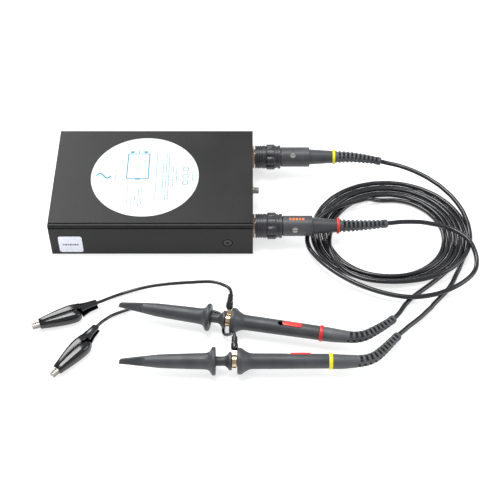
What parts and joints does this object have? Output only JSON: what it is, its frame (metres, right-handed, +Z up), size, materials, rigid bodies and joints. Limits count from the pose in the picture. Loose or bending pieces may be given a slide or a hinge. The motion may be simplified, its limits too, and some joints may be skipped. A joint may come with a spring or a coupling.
{
  "type": "computer oscilloscope with probes",
  "caption": "Flat black metal computer oscilloscope box with plugged-in bayonet probes, coiled cables, sprung hook tips, slide switches and crocodile-clip ground leads.",
  "frame": {"origin": "middle of the case's footprint, on the table", "axes": "+X along the case towards its input jacks, +Y to the back, +Z up"},
  "size_m": [0.2591, 0.1711, 0.0251],
  "materials": {
    "case_black": "satin",
    "chassis_black": "satin",
    "screw_black": "satin",
    "label_white": "satin",
    "seal_silver": "gloss",
    "board_green": "gloss",
    "component_black": "matte",
    "screw_steel": "satin",
    "jack_nickel": "gloss",
    "insert_white": "matte",
    "contact_brass": "gloss",
    "terminal_brass": "gloss",
    "usb_steel": "satin",
    "collar_black": "satin",
    "housing_black": "matte",
    "handle_black": "matte",
    "boot_black": "matte",
    "cable_black": "satin",
    "ring_yellow": "satin",
    "ring_red": "satin",
    "switch_red": "satin",
    "clip_brass": "gloss",
    "clip_steel": "gloss",
    "clip_cover_black": "satin",
    "spring_steel": "satin"
  },
  "bodies": {
    "instrument": {"bnc_jack_contacts": "contact_brass", "bnc_jack_inserts": "insert_white", "bnc_jack_nuts": "jack_nickel", "bnc_jack_shells": "jack_nickel", "board_components": "component_black", "board_screws": "screw_steel", "calibration_bead": "insert_white", "calibration_post": "terminal_brass", "case_screws": "screw_black", "circuit_board": "board_green", "clip_fixed_covers": "clip_cover_black", "clip_fixed_jaws": "clip_steel", "clip_pins": "clip_steel", "clip_springs": "spring_steel", "handle_boots": "boot_black", "hook_stems": "spring_steel", "lower_chassis": "chassis_black", "probe_1_cable": "cable_black", "probe_1_ground_wire": "cable_black", "probe_1_handle": "handle_black", "probe_1_handle_marker_ring": "ring_yellow", "probe_1_hook_spring": "spring_steel", "probe_2_cable": "cable_black", "probe_2_ground_wire": "cable_black", "probe_2_handle": "handle_black", "probe_2_handle_marker_ring": "ring_red", "probe_2_hook_spring": "spring_steel", "probe_barrels": "handle_black", "round_label": "label_white", "seal_sticker": "seal_silver", "upper_cover": "case_black", "usb_socket": "usb_steel"},
    "plug_1": {"probe_1_plug_shell": "jack_nickel", "probe_1_plug_insulator": "insert_white", "probe_1_plug_contact": "contact_brass", "probe_1_plug_housing": "housing_black", "probe_1_plug_marker_ring": "ring_yellow", "probe_1_plug_boot": "boot_black"},
    "collar_1": {"probe_1_bayonet_collar": "collar_black"},
    "trimmer_1": {"probe_1_trimmer_screw": "terminal_brass"},
    "switch_1": {"probe_1_range_switch": "switch_red"},
    "sleeve_1": {"probe_1_hook_sleeve": "handle_black"},
    "ground_1": {"probe_1_ground_clip": "clip_brass", "probe_1_ground_lead_boot": "boot_black"},
    "jaw_1": {"probe_1_clip_moving_jaw": "clip_steel", "probe_1_clip_moving_cover": "clip_cover_black"},
    "plug_2": {"probe_2_plug_shell": "jack_nickel", "probe_2_plug_insulator": "insert_white", "probe_2_plug_contact": "contact_brass", "probe_2_plug_housing": "housing_black", "probe_2_plug_marker_ring": "ring_red", "probe_2_plug_boot": "boot_black"},
    "collar_2": {"probe_2_bayonet_collar": "collar_black"},
    "trimmer_2": {"probe_2_trimmer_screw": "terminal_brass"},
    "switch_2": {"probe_2_range_switch": "switch_red"},
    "sleeve_2": {"probe_2_hook_sleeve": "handle_black"},
    "ground_2": {"probe_2_ground_clip": "clip_brass", "probe_2_ground_lead_boot": "boot_black"},
    "jaw_2": {"probe_2_clip_moving_jaw": "clip_steel", "probe_2_clip_moving_cover": "clip_cover_black"}
  },
  "joints": [
    {"name": "unplug_1", "type": "slide", "parent": "instrument", "child": "plug_1", "axis": [1, 0, 0], "range_m": [0, 0.012], "deforming": ["probe_1_cable"]},
    {"name": "collar_turn_1", "type": "hinge", "parent": "plug_1", "child": "collar_1", "pos_m": [0.0598, 0.02875, 0.0125], "axis": [1, 0, 0], "range_deg": [0, 91]},
    {"name": "trimmer_turn_1", "type": "hinge", "parent": "plug_1", "child": "trimmer_1", "pos_m": [0.085, 0.02875, 0.0125], "axis": [0, -0.5446, 0.8387], "range_deg": [-90, 90]},
    {"name": "range_switch_1", "type": "slide", "parent": "instrument", "child": "switch_1", "axis": [-1, 0, 0], "range_m": [0, 0.002]},
    {"name": "hook_sleeve_1", "type": "slide", "parent": "instrument", "child": "sleeve_1", "axis": [1, 0, 0], "range_m": [0, 0.0055], "stiffness_N_per_m": 300, "deforming": ["probe_1_hook_spring"]},
    {"name": "ground_swivel_1", "type": "hinge", "parent": "instrument", "child": "ground_1", "pos_m": [0.0382, -0.1232, 0.0079], "axis": [1, 0, 0], "range_deg": [-30, 30], "deforming": ["probe_1_ground_wire"]},
    {"name": "jaw_open_1", "type": "hinge", "parent": "instrument", "child": "jaw_1", "pos_m": [-0.0376, -0.1129, 0.0038], "axis": [0, 0, 1], "range_deg": [0, 12], "stiffness_Nm_per_rad": 0.1},
    {"name": "unplug_2", "type": "slide", "parent": "instrument", "child": "plug_2", "axis": [1, 0, 0], "range_m": [0, 0.012], "deforming": ["probe_2_cable"]},
    {"name": "collar_turn_2", "type": "hinge", "parent": "plug_2", "child": "collar_2", "pos_m": [0.0598, -0.02875, 0.0125], "axis": [1, 0, 0], "range_deg": [0, 91]},
    {"name": "trimmer_turn_2", "type": "hinge", "parent": "plug_2", "child": "trimmer_2", "pos_m": [0.085, -0.02875, 0.0125], "axis": [0, -0.9397, 0.342], "range_deg": [-90, 90]},
    {"name": "range_switch_2", "type": "slide", "parent": "instrument", "child": "switch_2", "axis": [-0.9848, 0.1736, 0], "range_m": [0, 0.002]},
    {"name": "hook_sleeve_2", "type": "slide", "parent": "instrument", "child": "sleeve_2", "axis": [0.9848, -0.1736, 0], "range_m": [0, 0.0055], "stiffness_N_per_m": 300, "deforming": ["probe_2_hook_spring"]},
    {"name": "ground_swivel_2", "type": "hinge", "parent": "instrument", "child": "ground_2", "pos_m": [0.0347, -0.0932, 0.0079], "axis": [0.9848, -0.1736, 0], "range_deg": [-30, 30], "deforming": ["probe_2_ground_wire"]},
    {"name": "jaw_open_2", "type": "hinge", "parent": "instrument", "child": "jaw_2", "pos_m": [-0.0455, -0.0888, 0.0038], "axis": [0, 0, 1], "range_deg": [0, 12], "stiffness_Nm_per_rad": 0.1}
  ],
  "couplings": [
    {"joint": "collar_turn_1", "follows": "unplug_1", "rad_per_m": 130.9},
    {"joint": "collar_turn_2", "follows": "unplug_2", "rad_per_m": 130.9}
  ]
}
